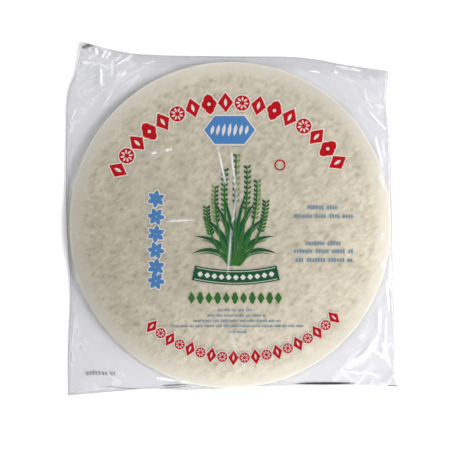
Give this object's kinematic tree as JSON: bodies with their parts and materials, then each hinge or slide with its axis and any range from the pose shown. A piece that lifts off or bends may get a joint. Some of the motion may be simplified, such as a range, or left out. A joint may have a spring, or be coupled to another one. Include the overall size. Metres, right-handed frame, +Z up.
{
  "type": "rice paper wrapper stack",
  "caption": "Stack of round dry rice paper wrappers sealed flat in a clear printed film bag, for soaking and rolling.",
  "frame": {"origin": "centre of the round stack's flat underside, on the surface that the bag lies on", "axes": "+Z up through the stack, out of the printed front; +Y towards the bag's heat-sealed top end; +X to the right of the printed front"},
  "size_m": [0.2286, 0.2437, 0.0155],
  "materials": {
    "filled_bag": "clear glossy film over pale beige rice paper",
    "clear_film": "clear crinkled polypropylene film, glossy",
    "rice_paper": "dry translucent rice sheet with a woven mat's imprint, satin",
    "red_ink": "printed red under glossy film",
    "white_ink": "printed white under glossy film",
    "green_ink": "printed green under glossy film",
    "blue_ink": "printed blue under glossy film",
    "grey_ink": "faint grey stamped marks"
  },
  "bodies": {
    "root": {"bag": "filled_bag"}
  },
  "joints": []
}
